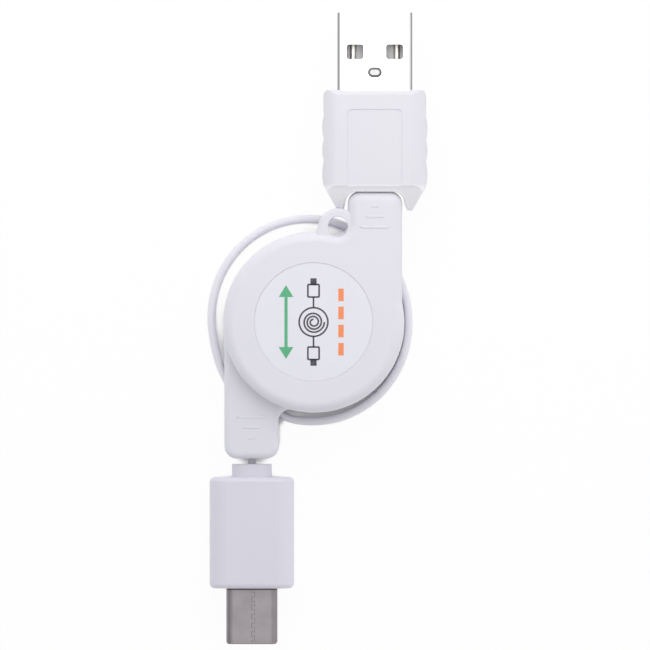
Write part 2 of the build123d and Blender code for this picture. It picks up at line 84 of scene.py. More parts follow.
def fill(tree, socket, value):
    """Links a socket to another, or sets it to a plain value."""
    if isinstance(value, bpy.types.NodeSocket):
        tree.links.new(value, socket)
    else:
        socket.default_value = value


def step(tree, kind, links, **settings):
    """One node of a tree with its settings applied and its sockets linked or set by name."""
    node = tree.nodes.new(kind)
    for name, value in settings.items():
        setattr(node, name, value)
    for name, value in links.items():
        fill(tree, node.inputs[name], value)
    return node.outputs


def sum_up(tree, operation, first, second):
    """One arithmetic step between two values."""
    node = tree.nodes.new("ShaderNodeMath")
    node.operation = operation
    fill(tree, node.inputs[0], first)
    fill(tree, node.inputs[1], second)
    return node.outputs["Value"]


def noise(tree, where, size, detail=3.0, stretch=(1, 1, 1)):
    """Noise whose marks are about size long, in metres, drawn out along each axis by stretch."""
    scale = [1 / s for s in stretch]
    drawn_out = step(tree, "ShaderNodeMapping", {"Vector": where, "Scale": scale})["Vector"]
    return step(tree, "ShaderNodeTexNoise", {"Vector": drawn_out, "Scale": 1 / size, "Detail": detail})["Fac"]


def spread(tree, value, low, high, start=0.3, end=0.7):
    """The value between start and end, spread from low to high."""
    ends = {"From Min": start, "From Max": end, "To Min": low, "To Max": high}
    return step(tree, "ShaderNodeMapRange", {"Value": value, **ends})["Result"]


def two_colours(tree, factor, first, second):
    """A colour between two, by a factor from 0 to 1."""
    node = tree.nodes.new("ShaderNodeMix")
    node.data_type = "RGBA"
    fill(tree, node.inputs["Factor"], factor)
    for socket, colour in zip([s for s in node.inputs if s.type == "RGBA"], (first, second)):
        fill(tree, socket, colour)
    return next(s for s in node.outputs if s.type == "RGBA")


def relief(tree, height, depth, below):
    """A normal with a relief of the given depth, in metres, on top of another normal."""
    return step(tree, "ShaderNodeBump", {"Height": height, "Distance": depth, "Normal": below})["Normal"]


def soft_edges(tree, radius):
    """A normal that rounds sharp edges a little, as a mould or a press leaves them."""
    return step(tree, "ShaderNodeBevel", {"Radius": radius}, samples=4)["Normal"]


def moulded_plastic(name, colour, shade, roughness, edge=MOULD_EDGE, parting=None, thin_ink_and_painted_light=None):
    """Plastic with grain, flow marks and uneven sheen, and if asked a parting line or a painted highlight
    that makes one end paler.
    """
    made, tree, shader, where = new_material(name)
    flow = spread(tree, noise(tree, where, FLOW_SIZE, 2, FLOW_DRAWN), 0, 1)
    tint = two_colours(tree, flow, colour, shade)
    # Painted highlight: towards lower Y the colour fades to a paler one, so that a slope turned from the
    # lamps looks lit.
    if thin_ink_and_painted_light is not None:
        painted_light_colour, painted_light_full_to, painted_light_gone_from = thin_ink_and_painted_light
        along = step(tree, "ShaderNodeSeparateXYZ", {"Vector": where})["Y"]
        tint = two_colours(tree, spread(tree, along, 0, 1, painted_light_full_to, painted_light_gone_from), painted_light_colour, tint)
    tree.links.new(tint, shader.inputs["Base Color"])
    sheen = spread(tree, noise(tree, where, SHEEN_SIZE), roughness - SHEEN_LESS, roughness + SHEEN_MORE)
    tree.links.new(sheen, shader.inputs["Roughness"])
    surface = relief(tree, noise(tree, where, WAVE_SIZE, 1), WAVE_DEPTH, soft_edges(tree, edge))
    if parting is not None:
        level = step(tree, "ShaderNodeSeparateXYZ", {"Vector": where})["Z"]
        away = sum_up(tree, "ABSOLUTE", sum_up(tree, "SUBTRACT", level, parting), 0)
        surface = relief(tree, spread(tree, away, 1, 0, 0, PARTING_WIDTH), PARTING_DEPTH, surface)
    surface = relief(tree, noise(tree, where, GRAIN), GRAIN_DEPTH, surface)
    tree.links.new(surface, shader.inputs["Normal"])
    shader.inputs["Specular IOR Level"].default_value = PLASTIC_GLOSS
    return made


def dress(node, material):
    """Gives a node of the frame its finish."""
    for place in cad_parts[node].material_slots:
        place.material = material


case_plastic = moulded_plastic("case_plastic", CASE_WHITE, CASE_SHADE, CASE_ROUGHNESS)
dress("upper_shell", case_plastic)
dress("lower_shell", case_plastic)


# Pull marks on the arms
# Three low raised bars on each arm, moulded with the case, that grow shorter towards the arm's end.
# They show which way the cord is pulled.
ARM_A_X = 9.8 * MM
ARM_C_X = -10.1 * MM
ARM_C_TOP = 7.2 * MM
MARK_COUNT = 3
MARK_PITCH = 1.68 * MM
MARK_FIRST = 5.3 * MM
MARK_LAST = 1.2 * MM
MARK_WIDTH = 0.5 * MM
MARK_RISE = 0.075 * MM
MARK_START_Y = 15.2 * MM
MARK_TAPER = 0.16
MARK_STEPS = 33
MARK_SIDES = 20


def node_tree(name, sockets):
    """A geometry tree with named inputs: the tree, its input's outputs by name and its output's input."""
    tree = bpy.data.node_groups.new(name, "GeometryNodeTree")
    for label, kind in sockets:
        tree.interface.new_socket(name=label, in_out="INPUT", socket_type=kind)
    tree.interface.new_socket(name="Mesh", in_out="OUTPUT", socket_type="NodeSocketGeometry")
    given = tree.nodes.new("NodeGroupInput").outputs
    result = tree.nodes.new("NodeGroupOutput").inputs["Mesh"]
    return tree, given, result


def close_tree(tree, geometry, finish, result):
    """Ends a tree: real, smooth faces with their finish."""
    real = step(tree, "GeometryNodeRealizeInstances", {"Geometry": geometry})
    smooth = step(tree, "GeometryNodeSetShadeSmooth", {"Geometry": real["Geometry"]})
    dressed = step(tree, "GeometryNodeSetMaterial", {"Geometry": smooth["Geometry"], "Material": finish})
    tree.links.new(dressed["Geometry"], result)


def finished(name, mesh, tree, values):
    """The tree's result on a mesh, as a plain mesh object with no modifier left."""
    source = bpy.data.objects.new(name + "_source", mesh)
    bpy.context.scene.collection.objects.link(source)
    modifier = source.modifiers.new("shape", "NODES")
    modifier.node_group = tree
    for item in tree.interface.items_tree:
        if item.in_out == "INPUT" and item.name in values:
            modifier[item.identifier] = values[item.name]
    bpy.context.view_layer.update()
    shaped = source.evaluated_get(bpy.context.evaluated_depsgraph_get())
    result = bpy.data.meshes.new_from_object(shaped)
    bpy.data.objects.remove(source)
    made = bpy.data.objects.new(name, result)
    bpy.context.scene.collection.objects.link(made)
    return made


def pull_mark_tree():
    """A row of low rounded bars whose lengths run evenly from the first to the last."""
    tree, given, result = node_tree(
        "pull_marks",
        [
            ("Count", "NodeSocketInt"),
            ("Place", "NodeSocketVector"),
            ("Pitch", "NodeSocketVector"),
            ("First length", "NodeSocketFloat"),
            ("Last length", "NodeSocketFloat"),
            ("Width", "NodeSocketFloat"),
            ("Flatness", "NodeSocketFloat"),
            ("Finish", "NodeSocketMaterial"),
        ],
    )
    line = step(tree, "GeometryNodeCurvePrimitiveLine", {"Start": (-0.5, 0, 0), "End": (0.5, 0, 0)})
    line = step(tree, "GeometryNodeResampleCurve", {"Curve": line["Curve"], "Count": MARK_STEPS})
    along = step(tree, "GeometryNodeSplineParameter", {})["Factor"]
    fullness = step(
        tree,
        "ShaderNodeMapRange",
        {"Value": sum_up(tree, "PINGPONG", along, 0.5), "From Max": MARK_TAPER},
        interpolation_type="SMOOTHERSTEP",
    )
    radius = sum_up(tree, "MULTIPLY", given["Width"], 0.5)
    circle = step(tree, "GeometryNodeCurvePrimitiveCircle", {"Resolution": MARK_SIDES, "Radius": radius})
    bar = step(
        tree,
        "GeometryNodeCurveToMesh",
        {
            "Curve": line["Curve"],
            "Profile Curve": circle["Curve"],
            "Scale": fullness["Result"],
            "Fill Caps": True,
        },
    )
    row = step(
        tree,
        "GeometryNodeMeshLine",
        {"Count": given["Count"], "Start Location": given["Place"], "Offset": given["Pitch"]},
    )
    length = step(
        tree,
        "ShaderNodeMapRange",
        {
            "Value": step(tree, "GeometryNodeInputIndex", {})["Index"],
            "From Max": sum_up(tree, "SUBTRACT", given["Count"], 1),
            "To Min": given["First length"],
            "To Max": given["Last length"],
        },
    )
    scale = step(tree, "ShaderNodeCombineXYZ", {"X": length["Result"], "Y": 1.0, "Z": given["Flatness"]})
    bars = step(
        tree,
        "GeometryNodeInstanceOnPoints",
        {"Points": row["Mesh"], "Instance": bar["Mesh"], "Scale": scale["Vector"]},
    )
    close_tree(tree, bars["Instances"], given["Finish"], result)
    return tree


pull_marks = pull_mark_tree()
arm_a_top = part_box("upper_shell")[1].z
for name, x, way, top in (("upper", ARM_A_X, 1, arm_a_top), ("lower", ARM_C_X, -1, ARM_C_TOP)):
    marks = finished(
        f"pull_marks_{name}",
        bpy.data.meshes.new("pull_marks"),
        pull_marks,
        {
            "Count": MARK_COUNT,
            "Place": (x, way * MARK_START_Y, top),
            "Pitch": (0, way * MARK_PITCH, 0),
            "First length": MARK_FIRST,
            "Last length": MARK_LAST,
            "Width": MARK_WIDTH,
            "Flatness": 2 * MARK_RISE / MARK_WIDTH,
            "Finish": case_plastic,
        },
    )
    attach(marks, "housing")


# Label
# A round film sticker in a shallow recess that hides the screw.
# It carries a plain printed sign: a wound reel with a plug at both ends, an arrow to both sides and dashes.
FILM_WHITE = (0.765, 0.76, 0.82, 1)
FILM_SHADE = (0.745, 0.74, 0.805, 1)
INK_DARK = (0.035, 0.035, 0.05, 1)
INK_GREEN = (0.07, 0.4, 0.19, 1)
INK_ORANGE = (0.87, 0.25, 0.08, 1)
FILM_CLOUD = 6 * MM
FILM_SHEEN_SIZE = 0.8 * MM
FILM_SHEEN = (0.3, 0.38)
PEEL_SIZE = 0.9 * MM
PEEL_DEPTH = 0.001 * MM
INK_T = 0.012 * MM
INK_THIN = 0.12
INK_SPECK = 0.25 * MM
INK_COVER = (0.45, 0.85)
INK_SHEEN_SIZE = 0.4 * MM
INK_SHEEN = (0.42, 0.56)
PRINT_TURN = radians(90)
LABEL_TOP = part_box("label_disc")[1].z
LABEL_GAP = 0.05 * MM
FILM_EDGE = 0.05 * MM
FILM_BEAD = 0.035 * MM
BEAD_STEPS = 180
BEAD_SIDES = 10

# Sizes of the print in millimetres, u along the pull and v across it
PEN = 0.27
REEL_R = 2.3
WOUND_R = (0.4, 1.75)
WOUND_TURNS = 2.75
WOUND_STEPS = 90
NEARLY_CLOSED = 0.9995
CIRCLE_STEPS = 48
CORD_END_U = 4.0
GRIP_L = 2.0
GRIP_HALF = 0.9
TIP_L = 1.0
TIP_HALF = 0.5
ARROW_V = 4.4
ARROW_END_U = 5.9
ARROW_HEAD = 1.9
ARROW_FLARE = 0.62
ARROW_PEN = 0.5
DASH_V = -4.4
DASH_L = 2.0
DASH_PEN = 0.85
DASH_PITCH = 2.9
DASH_COUNT = 4


def film(name):
    """Smooth white film with a faint orange-peel surface."""
    made, tree, shader, where = new_material(name)
    cloud = spread(tree, noise(tree, where, FILM_CLOUD, 2), 0, 1)
    tree.links.new(two_colours(tree, cloud, FILM_WHITE, FILM_SHADE), shader.inputs["Base Color"])
    tree.links.new(spread(tree, noise(tree, where, FILM_SHEEN_SIZE), *FILM_SHEEN), shader.inputs["Roughness"])
    peel = relief(tree, noise(tree, where, PEEL_SIZE, 1), PEEL_DEPTH, soft_edges(tree, FILM_EDGE))
    tree.links.new(peel, shader.inputs["Normal"])
    return made


def film_edge_tree():
    """A thin round bead along a circle."""
    tree, given, result = node_tree(
        "film_edge",
        [
            ("Circle", "NodeSocketFloat"),
            ("Bead", "NodeSocketFloat"),
            ("Place", "NodeSocketVector"),
            ("Finish", "NodeSocketMaterial"),
        ],
    )
    rim = {"Resolution": BEAD_STEPS, "Radius": given["Circle"]}
    circle = step(tree, "GeometryNodeCurvePrimitiveCircle", rim)
    bead = step(tree, "GeometryNodeCurvePrimitiveCircle", {"Resolution": BEAD_SIDES, "Radius": given["Bead"]})
    tube = step(tree, "GeometryNodeCurveToMesh", {"Curve": circle["Curve"], "Profile Curve": bead["Curve"]})
    placed = step(tree, "GeometryNodeTransform", {"Geometry": tube["Mesh"], "Translation": given["Place"]})
    close_tree(tree, placed["Geometry"], given["Finish"], result)
    return tree


def ink(name, colour):
    """Screen-printed ink, slightly uneven and duller than the film."""
    made, tree, shader, where = new_material(name)
    thin_ink_and_painted_light = tuple(c + INK_THIN * (1 - c) for c in colour[:3]) + (1,)
    cover = spread(tree, noise(tree, where, INK_SPECK, 4), 0, 1, *INK_COVER)
    tree.links.new(two_colours(tree, cover, colour, thin_ink_and_painted_light), shader.inputs["Base Color"])
    tree.links.new(spread(tree, noise(tree, where, INK_SHEEN_SIZE), *INK_SHEEN), shader.inputs["Roughness"])
    return made


def stroke(points, width):
    """The outline of a line of the given width, drawn through the points."""
    left = []
    right = []
    for i, point in enumerate(points):
        here = Vector(point)
        before = Vector(points[max(i - 1, 0)])
        after = Vector(points[min(i + 1, len(points) - 1)])
        along = (after - before).normalized()
        across = Vector((-along.y, along.x)) * width / 2
        left.append(here + across)
        right.append(here - across)
    return [tuple(p) for p in left] + [tuple(p) for p in reversed(right)]


def spiral(centre, r0, r1, turns, count):
    """Points of a wound line, from the middle outwards; equal radii and one turn give a circle."""
    points = []
    for i in range(count + 1):
        angle = 2 * pi * turns * i / count
        r = r0 + (r1 - r0) * i / count
        points.append((centre[0] + r * cos(angle), centre[1] + r * sin(angle)))
    return points


def ring(centre, r):
    """A drawn circle."""
    return stroke(spiral(centre, r, r, NEARLY_CLOSED, CIRCLE_STEPS), PEN)


def arrow_head(tip_u, v, size, way):
    """A filled triangle that points along the pull."""
    half = ARROW_FLARE * size
    return [(tip_u, v), (tip_u - way * size, v + half), (tip_u - way * size, v - half)]


def box_outline(u0, u1, half):
    """The corners of a box about the label's middle line."""
    return [(u0, -half), (u1, -half), (u1, half), (u0, half)]


def plug_sign(u, way):
    """A small plug: its drawn grip, and a narrower filled tip beyond it."""
    grip_end = u + way * GRIP_L
    grip = box_outline(u, grip_end, GRIP_HALF)
    sides = [stroke(side, PEN) for side in zip(grip, grip[1:] + grip[:1])]
    return sides + [box_outline(grip_end, grip_end + way * TIP_L, TIP_HALF)]


def printed(name, outlines, material):
    """Ink shapes on the label's film, each outline in millimetres along and across the pull."""
    turn = Matrix.Rotation(PRINT_TURN, 4, "Z")
    drawing = bmesh.new()
    for outline in outlines:
        corners = [turn @ Vector((u * MM, v * MM, 0)) for u, v in outline]
        face = drawing.faces.new([drawing.verts.new((c.x, c.y, LABEL_TOP)) for c in corners])
        raised = bmesh.ops.extrude_face_region(drawing, geom=[face])["geom"]
        lifted = [v for v in raised if isinstance(v, bmesh.types.BMVert)]
        bmesh.ops.translate(drawing, vec=(0, 0, INK_T), verts=lifted)
    bmesh.ops.recalc_face_normals(drawing, faces=drawing.faces)
    bmesh.ops.triangulate(drawing, faces=drawing.faces)
    mesh = bpy.data.meshes.new(name)
    drawing.to_mesh(mesh)
    drawing.free()
    mesh.materials.append(material)
    made = bpy.data.objects.new(name, mesh)
    bpy.context.scene.collection.objects.link(made)
    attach(made, "housing")


label_film = film("label_film")
dress("label_disc", label_film)
film_edge = finished(
    "label_edge",
    bpy.data.meshes.new("label_edge"),
    film_edge_tree(),
    {
        "Circle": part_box("label_disc")[1].x + LABEL_GAP / 2,
        "Bead": FILM_BEAD,
        "Place": (0, 0, LABEL_TOP - FILM_BEAD),
        "Finish": label_film,
    },
)
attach(film_edge, "housing")
dark_shapes = [ring((0, 0), REEL_R), stroke(spiral((0, 0), *WOUND_R, WOUND_TURNS, WOUND_STEPS), PEN)]
green_shapes = [stroke([(ARROW_HEAD - ARROW_END_U, ARROW_V), (ARROW_END_U - ARROW_HEAD, ARROW_V)], ARROW_PEN)]
for way in (-1, 1):
    dark_shapes.append(stroke([(way * REEL_R, 0), (way * CORD_END_U, 0)], PEN))
    dark_shapes += plug_sign(way * CORD_END_U, way)
    green_shapes.append(arrow_head(way * ARROW_END_U, ARROW_V, ARROW_HEAD, way))
dash_middles = [DASH_PITCH * (i - (DASH_COUNT - 1) / 2) for i in range(DASH_COUNT)]
orange_shapes = [stroke([(u - DASH_L / 2, DASH_V), (u + DASH_L / 2, DASH_V)], DASH_PEN) for u in dash_middles]
printed("label_print_dark", dark_shapes, ink("ink_dark", INK_DARK))
printed("label_print_green", green_shapes, ink("ink_green", INK_GREEN))
printed("label_print_orange", orange_shapes, ink("ink_orange", INK_ORANGE))


# Drum, spring and lock
# A two-storey spool of plain moulded plastic turns on the case's post and holds the spiral spring.
# A steel ball in its top track locks it, and one slotted screw closes the case.
DRUM_GREY = (0.66, 0.66, 0.68, 1)
DRUM_SHADE = (0.61, 0.61, 0.64, 1)
STEEL = (0.62, 0.62, 0.64, 1)
STEEL_SHADE = (0.55, 0.55, 0.58, 1)
STEEL_EDGE = 0.06 * MM
BLUED = (0.2, 0.23, 0.32, 1)
STRAW = (0.42, 0.36, 0.26, 1)
DRUM_ROUGHNESS = 0.5
SPRING_ROUGHNESS = 0.28
STEEL_ROUGHNESS = 0.2
DRAWN_LINE = 0.05 * MM
DRAWN_OUT = 40
DRAWN_DEPTH = 0.0012 * MM
DRAWN_LESS = 0.05
DRAWN_MORE = 0.08
TINT_SIZE = 2.2 * MM
TINT_COVER = (0.35, 0.75)
ALONG_X, ALONG_Y, ALONG_Z = range(3)


def drawn_steel(name, colour, tint, roughness, grain_axis, flank_shade=None, root_shade=None):
    """Steel with fine lines along one axis and a cloudy tint, and if asked painted shade on upright faces or
    a painted shadow band past a given Y.
    """
    made, tree, shader, where = new_material(name)
    stretch = [DRAWN_OUT if axis == grain_axis else 1 for axis in range(3)]
    lines = noise(tree, where, DRAWN_LINE, 2, stretch)
    cloud = spread(tree, noise(tree, where, TINT_SIZE), 0, 1, *TINT_COVER)
    plating = two_colours(tree, cloud, colour, tint)
    # Painted shade: faces that stand upright are painted towards a darker colour, fading back to the plating
    # as they turn flat.
    if flank_shade is not None:
        normal = step(tree, "ShaderNodeNewGeometry", {})["Normal"]
        level = sum_up(tree, "ABSOLUTE", step(tree, "ShaderNodeSeparateXYZ", {"Vector": normal})["Z"], 0)
        flank_shade_colour, full_shade_to, no_shade_from = flank_shade
        plating = two_colours(tree, spread(tree, level, 0, 1, full_shade_to, no_shade_from), flank_shade_colour, plating)
    # Painted shadow: from a given Y upwards the plating is painted dark, for the shadow where the piece runs
    # in under another part.
    if root_shade is not None:
        root_shade_colour, unshaded_to, shaded_from = root_shade
        along = step(tree, "ShaderNodeSeparateXYZ", {"Vector": where})["Y"]
        plating = two_colours(tree, spread(tree, along, 0, 1, unshaded_to, shaded_from), plating, root_shade_colour)
    tree.links.new(plating, shader.inputs["Base Color"])
    shader.inputs["Metallic"].default_value = 1
    sheen = spread(tree, lines, roughness - DRAWN_LESS, roughness + DRAWN_MORE)
    tree.links.new(sheen, shader.inputs["Roughness"])
    drawn = relief(tree, lines, DRAWN_DEPTH, soft_edges(tree, STEEL_EDGE))
    tree.links.new(drawn, shader.inputs["Normal"])
    return made


drum_plastic = moulded_plastic("drum_plastic", DRUM_GREY, DRUM_SHADE, DRUM_ROUGHNESS)
dress("drum", drum_plastic)
dress("spring_cover", drum_plastic)
dress("main_spring", drawn_steel("spring_strip", BLUED, STRAW, SPRING_ROUGHNESS, ALONG_Z))
hard_steel = drawn_steel("hard_steel", STEEL, STEEL_SHADE, STEEL_ROUGHNESS, ALONG_X)
dress("centre_screw", hard_steel)
dress("lock_ball", hard_steel)


# Cord
# A thin round lead in a soft white jacket, wound in both storeys of the drum.
# The lower end leaves its arm through a gate, lies once round the reel and goes back in to the type C plug.
CORD_D = 1.3 * MM
JACKET_EDGE = 0.05 * MM
JACKET_WHITE = (0.8, 0.79, 0.85, 1)
JACKET_SHADE = (0.77, 0.76, 0.825, 1)
JACKET_GLOSS = 0.4
JACKET_CLOUD = 4 * MM
JACKET_SHEEN = (0.44, 0.58)
SKIN_SIZE = 0.12 * MM
SKIN_DEPTH = 0.003 * MM
STREAK_SIZE = 0.2
STREAK_DRAWN = (1, 1, 30)
STREAK_DEPTH = 0.004 * MM
TURN_SHEEN_SIZE = 0.8 * MM
TURN_DEPTH = 0.4 * CORD_D
CORD_SIDES = 28
LINE_STEPS = 14
RING_START = -95.5
RING_STEP = 24.5
RING_POINTS = 13
RING_RX = 16.3
RING_RY = 16.75
RING_LEFT = 0.8
RING_UP = 0.45
RING_SKEW = 0.22
ON_TABLE = 0.65
CORD_A_Z = 7.4
CORD_C_Z = 3.6


def on_ring(index, z):
    """A point of the loose turn's oval, which lies a little askew, in millimetres."""
    angle = radians(RING_START + RING_STEP * index)
    askew = RING_SKEW * sin(2 * angle)
    return ((RING_RX - askew) * cos(angle) - RING_LEFT, (RING_RY - askew) * sin(angle) + RING_UP, z)


lower_route = [
    (-11.22, -6.56, 3.4),
    (-6.85, -14.3, 2.6),
    on_ring(0, 1.2),
    *[on_ring(index, ON_TABLE) for index in range(1, RING_POINTS - 1)],
    on_ring(RING_POINTS - 1, 1.0),
    (-14.45, -9.1, 2.4),
    (-11.5, -13.3, 3.4),
    (-10.1, -17.5, CORD_C_Z),
    (-10.1, -20.5, CORD_C_Z),
    (-10.1, -25.8, CORD_C_Z),
]
upper_route = [
    (12.25, 1.59, 6.7),
    (9.8, 16.1, CORD_A_Z),
    (9.8, 19.6, CORD_A_Z),
    (9.8, 24.15, CORD_A_Z),
]


def jacket(name):
    """Soft jacket with faint drawing lines along the cord and a dull, slightly waxy skin."""
    made, tree, shader, where = new_material(name)
    place = tree.nodes.new("ShaderNodeAttribute")
    place.attribute_name = "jacket"
    streak = noise(tree, place.outputs["Vector"], STREAK_SIZE, 2, STREAK_DRAWN)
    cloud = spread(tree, noise(tree, where, JACKET_CLOUD, 2), 0, 1)
    tree.links.new(two_colours(tree, cloud, JACKET_WHITE, JACKET_SHADE), shader.inputs["Base Color"])
    tree.links.new(spread(tree, streak, *JACKET_SHEEN), shader.inputs["Roughness"])
    skin = relief(tree, noise(tree, where, SKIN_SIZE), SKIN_DEPTH, soft_edges(tree, JACKET_EDGE))
    tree.links.new(relief(tree, streak, STREAK_DEPTH, skin), shader.inputs["Normal"])
    shader.inputs["Specular IOR Level"].default_value = JACKET_GLOSS
    return made


def wound_jacket(name):
    """The same jacket on the coils, with the turns' rounded backs one cord apart."""
    made, tree, shader, where = new_material(name)
    axes = step(tree, "ShaderNodeSeparateXYZ", {"Vector": where})
    turn = sum_up(tree, "PINGPONG", sum_up(tree, "MULTIPLY", axes["Z"], 1 / CORD_D), 0.5)
    cloud = spread(tree, noise(tree, where, JACKET_CLOUD, 2), 0, 1)
    tree.links.new(two_colours(tree, cloud, JACKET_WHITE, JACKET_SHADE), shader.inputs["Base Color"])
    sheen = spread(tree, noise(tree, where, TURN_SHEEN_SIZE), *JACKET_SHEEN)
    tree.links.new(sheen, shader.inputs["Roughness"])
    wound = relief(tree, turn, TURN_DEPTH, soft_edges(tree, JACKET_EDGE))
    tree.links.new(wound, shader.inputs["Normal"])
    return made


def route_line(name, route):
    """The points of the smooth line whose control points are the route, in metres."""
    curve = bpy.data.curves.new(name, "CURVE")
    curve.dimensions = "3D"
    curve.resolution_u = LINE_STEPS
    spline = curve.splines.new("NURBS")
    spline.points.add(len(route) - 1)
    for point, (x, y, z) in zip(spline.points, route):
        point.co = (x * MM, y * MM, z * MM, 1)
    spline.order_u = 3
    spline.use_endpoint_u = True
    holder = bpy.data.objects.new(name, curve)
    bpy.context.scene.collection.objects.link(holder)
    bpy.context.view_layer.update()
    line = bpy.data.meshes.new_from_object(holder.evaluated_get(bpy.context.evaluated_depsgraph_get()))
    bpy.data.objects.remove(holder)
    return line


def jacket_tree():
    """A round tube along a line, with its place round and along the cord, in radii, kept for the finish."""
    tree, given, result = node_tree(
        "cord_jacket",
        [
            ("Line", "NodeSocketGeometry"),
            ("Diameter", "NodeSocketFloat"),
            ("Finish", "NodeSocketMaterial"),
        ],
    )
    line = step(tree, "GeometryNodeMeshToCurve", {"Mesh": given["Line"]})
    radius = sum_up(tree, "MULTIPLY", given["Diameter"], 0.5)
    per_radius = sum_up(tree, "DIVIDE", 1.0, radius)
    length = step(tree, "GeometryNodeSplineParameter", {})["Length"]
    measured = step(
        tree,
        "GeometryNodeStoreNamedAttribute",
        {"Geometry": line["Curve"], "Name": "along", "Value": sum_up(tree, "MULTIPLY", length, per_radius)},
    )
    circle = step(tree, "GeometryNodeCurvePrimitiveCircle", {"Resolution": CORD_SIDES, "Radius": radius})
    place = step(tree, "GeometryNodeInputPosition", {})["Position"]
    outward = step(tree, "ShaderNodeVectorMath", {"Vector": place, "Scale": per_radius}, operation="SCALE")
    marked = step(
        tree,
        "GeometryNodeStoreNamedAttribute",
        {"Geometry": circle["Curve"], "Name": "round", "Value": outward["Vector"]},
        data_type="FLOAT_VECTOR",
    )
    tube = step(
        tree,
        "GeometryNodeCurveToMesh",
        {"Curve": measured["Geometry"], "Profile Curve": marked["Geometry"], "Fill Caps": True},
    )
    along = step(tree, "GeometryNodeInputNamedAttribute", {"Name": "along"}, data_type="FLOAT")
    about = step(tree, "GeometryNodeInputNamedAttribute", {"Name": "round"}, data_type="FLOAT_VECTOR")
    about = step(tree, "ShaderNodeSeparateXYZ", {"Vector": about["Attribute"]})
    both = {"X": about["X"], "Y": about["Y"], "Z": along["Attribute"]}
    jacketed = step(
        tree,
        "GeometryNodeStoreNamedAttribute",
        {
            "Geometry": tube["Mesh"],
            "Name": "jacket",
            "Value": step(tree, "ShaderNodeCombineXYZ", both)["Vector"],
        },
        data_type="FLOAT_VECTOR",
    )
    close_tree(tree, jacketed["Geometry"], given["Finish"], result)
    return tree


cord_tree = jacket_tree()
cord_finish = jacket("cord_jacket")


def cord(name, route):
    """A cord's tube and the points of its line."""
    line = route_line(name + "_line", route)
    path = [v.co.copy() for v in line.vertices]
    return finished(name, line, cord_tree, {"Diameter": CORD_D, "Finish": cord_finish}), path


lower_cord, lower_path = cord("lower_cord", lower_route)
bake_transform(lower_cord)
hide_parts("cord_loop", "cord_stub_c")
upper_cord = cord("upper_cord", upper_route)[0]
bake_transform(upper_cord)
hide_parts("cord_lead_a", "cord_stub_a")
coil_finish = wound_jacket("wound_jacket")
dress("cord_coil_upper", coil_finish)
dress("cord_coil_lower", coil_finish)


# Type A plug
# A soft white grip, forked to fit round the arm's end, is moulded on a folded, nickel-plated steel shell.
# A white insulator inside carries four crowned contact strips with a thin gold flash.
PLUG_A_WHITE = (0.72, 0.711, 0.762, 1)
PLUG_A_SHADE = (0.705, 0.697, 0.755, 1)
GRIP_ROUGHNESS = 0.42
GRIP_EDGE = 0.04 * MM
NICKEL = (0.93, 0.93, 0.93, 1)
NICKEL_SHADE = (0.86, 0.86, 0.87, 1)
NICKEL_ROUGHNESS = 0.16
# Painted shade: the shell's upright sides are painted dark grey, fading to the nickel on its flat faces.
NICKEL_FLANK_SHADE = ((0.28, 0.28, 0.28, 1), 0.6, 0.97)
FLASH_GILT = (0.84, 0.82, 0.78, 1)
FLASH_SHADE = (0.77, 0.74, 0.69, 1)
FLASH_ROUGHNESS = 0.42
# Painted shade: the contact strips are painted darker on their sloping sides, so that only the top of each
# crown keeps the flash's colour.
FLASH_FLANK_SHADE = ((0.6, 0.58, 0.56, 1), 0.9, 0.998)
INSULATOR_WHITE = (0.82, 0.81, 0.82, 1)
INSULATOR_SHADE = (0.79, 0.78, 0.8, 1)
INSULATOR_ROUGHNESS = 0.5
DOCK_Y = 21.15 * MM
FORK_HALF = 4.65 * MM
FORK_SPREAD = 0.45 * MM
FORK_LENGTH = 3.2 * MM
THROAT_R = 2.0 * MM
SLOPE_Y = 21.85 * MM
SLOPE_FALL = 0.692
# Painted highlight: the grip fades to a paler colour from Y 22.2 to 21.2 mm and stays pale on the fork's
# slope, which faces away from the lamps.
FORK_PAINTED_LIGHT = ((0.835, 0.83, 0.865, 1), 21.2 * MM, 22.2 * MM)
LIP_D = 0.6 * MM
LIP_IN_WALL = 0.1 * MM
LIP_SINK = 0.3 * MM
LIP_SHORT = 0.35 * MM
LIP_TURN_IN = 0.45 * MM
LIP_STEPS = 8
SEAM_DARK = (0.1, 0.095, 0.1, 1)
SEAM_WORN = (0.3, 0.29, 0.3, 1)
SEAM_ROUGHNESS = 0.5
SEAM_SIDES = 8
SEAM_FLATNESS = 0.25
SEAM_LINE = 0.07 * MM
SEAM_A_PITCH = 2.5 * MM
SEAM_A_DEPTH = 0.5 * MM
CATCH_WIDTH = 1.9 * MM
CATCH_LENGTH = 1.25 * MM
CATCH_FROM_TIP = 9.6 * MM
CATCH_SHADE_RING = 0.36 * MM
CATCH_STEPS = 12
TOOTH_NECK = 0.3
TOOTH_HEAD = 0.2


